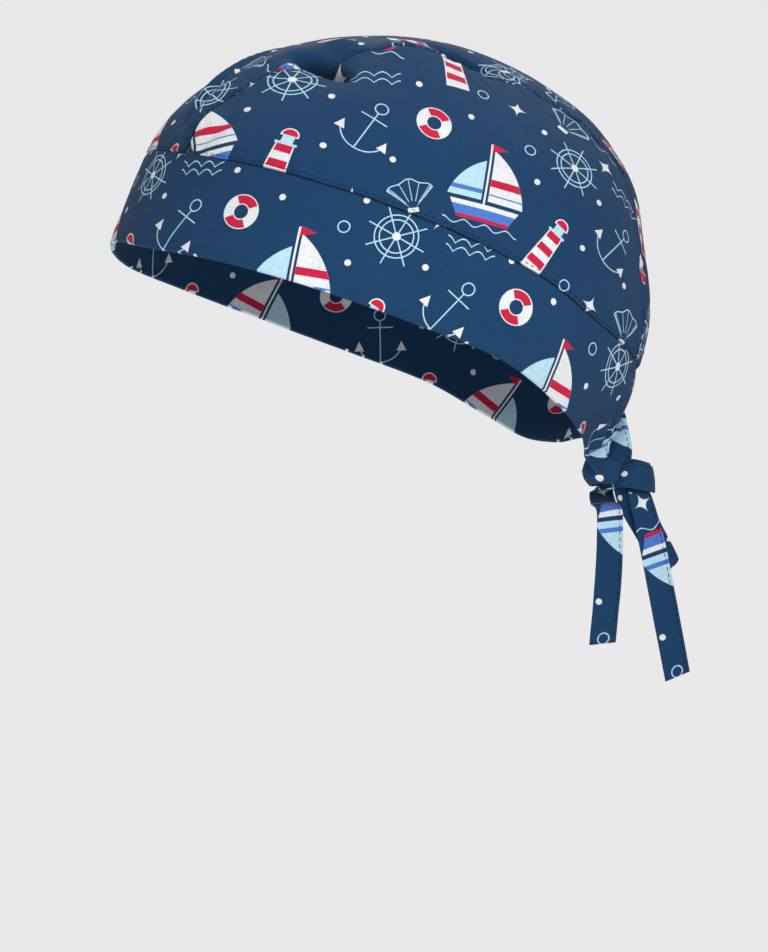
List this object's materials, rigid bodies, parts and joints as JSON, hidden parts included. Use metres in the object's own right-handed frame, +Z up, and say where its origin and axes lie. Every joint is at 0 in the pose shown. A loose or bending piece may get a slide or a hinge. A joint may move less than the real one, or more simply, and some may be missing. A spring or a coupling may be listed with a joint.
{
  "type": "bandana cap",
  "caption": "Tied cloth cap with a wide folded band, a panelled crown and narrow ties in a small bow, held in its worn form, open underneath for a head.",
  "frame": {"origin": "middle of the head opening, in the plane of the band's lower edge, where the head goes in", "axes": "+Z up as worn, -Y to the front of the head, +X to the wearer's left"},
  "size_m": [0.1566, 0.2223, 0.2431],
  "materials": {
    "printed_cotton": "matt navy cotton poplin with a small light print"
  },
  "bodies": {
    "root": {"band": "printed_cotton", "crown_left": "printed_cotton", "crown_centre": "printed_cotton", "crown_right": "printed_cotton", "tie_left": "printed_cotton", "tie_right": "printed_cotton"}
  },
  "joints": []
}
